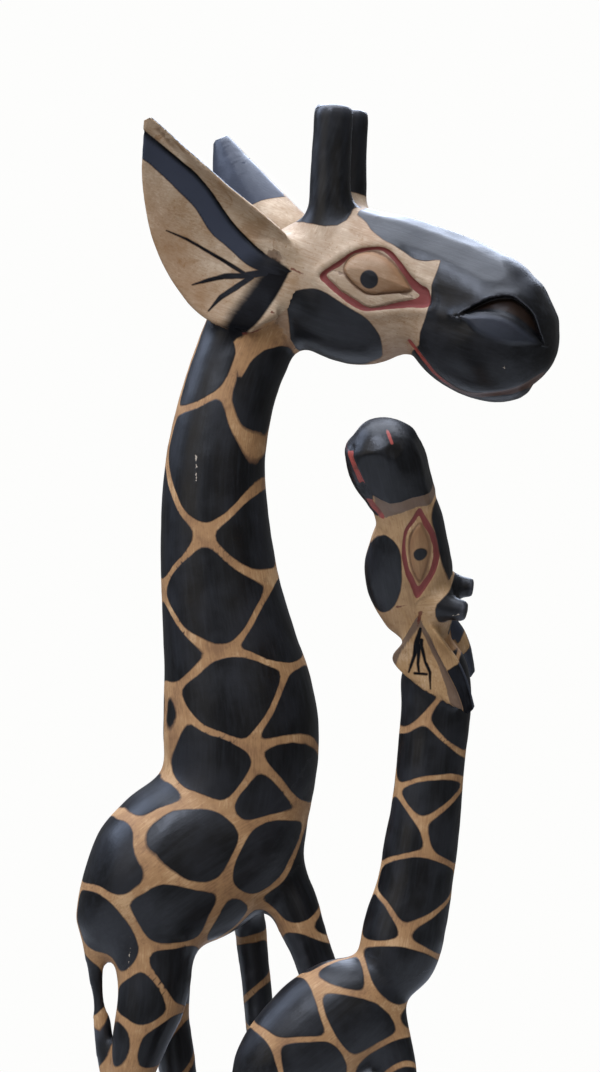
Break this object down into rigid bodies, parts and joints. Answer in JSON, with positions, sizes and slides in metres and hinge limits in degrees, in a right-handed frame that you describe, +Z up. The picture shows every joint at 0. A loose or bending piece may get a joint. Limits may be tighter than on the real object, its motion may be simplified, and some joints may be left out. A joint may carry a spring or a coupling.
{
  "type": "giraffe and calf sculpture",
  "caption": "Tall painted wooden carving of a giraffe bending its head to the calf beside it, on a low oval base.",
  "frame": {"origin": "centre of the base's flat underside", "axes": "+Z up, +X the way both bodies face, +Y towards the mother's side of the base, away from the calf"},
  "size_m": [0.3961, 0.2872, 0.9967],
  "materials": {
    "giraffe_paint": "black and tan paint over wood, semi-gloss",
    "calf_paint": "black and tan paint over wood, semi-gloss",
    "base_wood": "dark stained wood, satin"
  },
  "bodies": {
    "root": {"giraffe": "giraffe_paint", "calf": "calf_paint", "base": "base_wood"}
  },
  "joints": []
}
